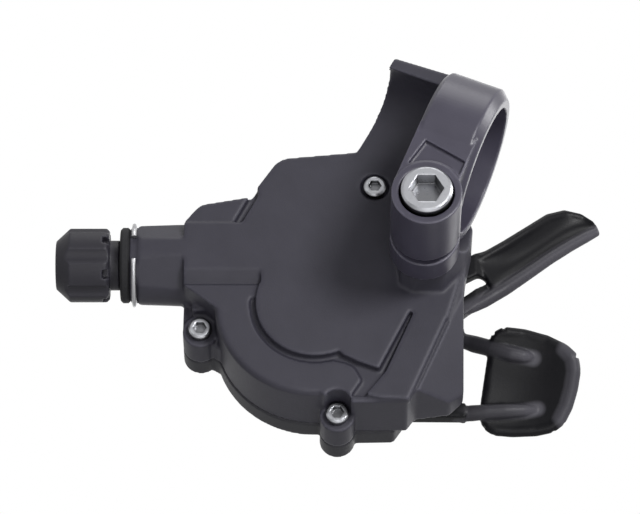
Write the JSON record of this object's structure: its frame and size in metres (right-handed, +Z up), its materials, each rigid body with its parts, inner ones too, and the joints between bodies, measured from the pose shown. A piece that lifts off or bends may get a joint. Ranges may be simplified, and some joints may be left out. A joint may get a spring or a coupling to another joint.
{
  "type": "trigger shifter",
  "caption": "Left-hand bicycle trigger shifter with bar clamp, round cover, cable outlet with barrel adjuster and two thumb levers.",
  "frame": {"origin": "centre of the handlebar clamp, on the handlebar's axis", "axes": "+X from the cable outlet towards the lever side, +Y from the handlebar towards the thumb levers, along the main pivot, +Z up across the clamp; the handlebar's axis lies in the XZ plane, 22 degrees below +X"},
  "size_m": [0.0948, 0.0507, 0.061],
  "materials": {
    "glass_filled_nylon": "fine satin grain, dark grey",
    "matt_nylon": "matt black with a fine grain",
    "lever_nylon": "matt black, smoother on the thumb pads",
    "painted_aluminium": "dark grey metallic paint, satin",
    "zinc_steel": "bright zinc plated",
    "plain_steel": "plain stamped or turned, light oil",
    "spring_steel": "drawn wire, bright",
    "grey_acetal": "smooth moulded grey",
    "rubber": "matt black"
  },
  "bodies": {
    "housing_body": {"housing": "glass_filled_nylon", "base_cover": "matt_nylon", "clamp_band": "painted_aluminium", "clamp_bolt": "zinc_steel", "clamp_nut": "zinc_steel", "cover_screw_left": "zinc_steel", "cover_screw_bottom": "zinc_steel", "cover_screw_upper": "zinc_steel", "adjuster_seal": "rubber", "adjuster_clip": "spring_steel", "main_axle": "plain_steel", "spool_spring": "spring_steel", "hold_pawl_pin": "plain_steel", "hold_pawl_spring": "spring_steel", "release_pin": "plain_steel", "release_spring": "spring_steel", "pull_lever_spring": "spring_steel", "lever_washer": "plain_steel", "lever_bolt": "zinc_steel"},
    "adjuster": {"barrel_adjuster": "matt_nylon"},
    "spool": {"cable_spool": "grey_acetal", "hold_ratchet": "plain_steel", "drive_ratchet": "plain_steel"},
    "pulling_lever": {"pull_lever": "lever_nylon", "lever_carrier": "plain_steel", "drive_pawl_pin": "plain_steel", "drive_pawl_spring": "spring_steel"},
    "driving_pawl": {"drive_pawl": "plain_steel"},
    "holding_pawl": {"hold_pawl": "plain_steel"},
    "releasing_lever": {"release_lever": "lever_nylon"}
  },
  "joints": [
    {"name": "pull_lever_swing", "type": "hinge", "parent": "housing_body", "child": "pulling_lever", "pos_m": [-0.0235, 0.0273, -0.0211], "axis": [0, 1, 0], "range_deg": [0, 60], "stiffness_Nm_per_rad": 0.08, "springref_deg": -20.05},
    {"name": "release_lever_swing", "type": "hinge", "parent": "housing_body", "child": "releasing_lever", "pos_m": [-0.007, 0.0253, -0.0179], "axis": [0, 1, 0], "range_deg": [0, 16], "stiffness_Nm_per_rad": 0.05, "springref_deg": -17.19},
    {"name": "hold_pawl_lift", "type": "hinge", "parent": "housing_body", "child": "holding_pawl", "pos_m": [-0.0076, 0.021, -0.0121], "axis": [0, 1, 0], "range_deg": [-8, 0]},
    {"name": "spool_turn", "type": "hinge", "parent": "housing_body", "child": "spool", "pos_m": [-0.0235, 0.0183, -0.0211], "axis": [0, 1, 0], "range_deg": [0, 60], "stiffness_Nm_per_rad": 0.05, "springref_deg": -28.65},
    {"name": "drive_pawl_swing", "type": "hinge", "parent": "pulling_lever", "child": "driving_pawl", "pos_m": [-0.03456, 0.0223, -0.02626], "axis": [0, 1, 0], "range_deg": [0, 14], "stiffness_Nm_per_rad": 0.002, "springref_deg": -11.46},
    {"name": "adjuster_turn", "type": "hinge", "parent": "housing_body", "child": "adjuster", "pos_m": [-0.065, 0.0183, -0.0106], "axis": [1, 0, 0], "range_deg": [-360, 360]}
  ],
  "couplings": [
    {"joint": "hold_pawl_lift", "follows": "release_lever_swing", "ratio": -0.5}
  ]
}
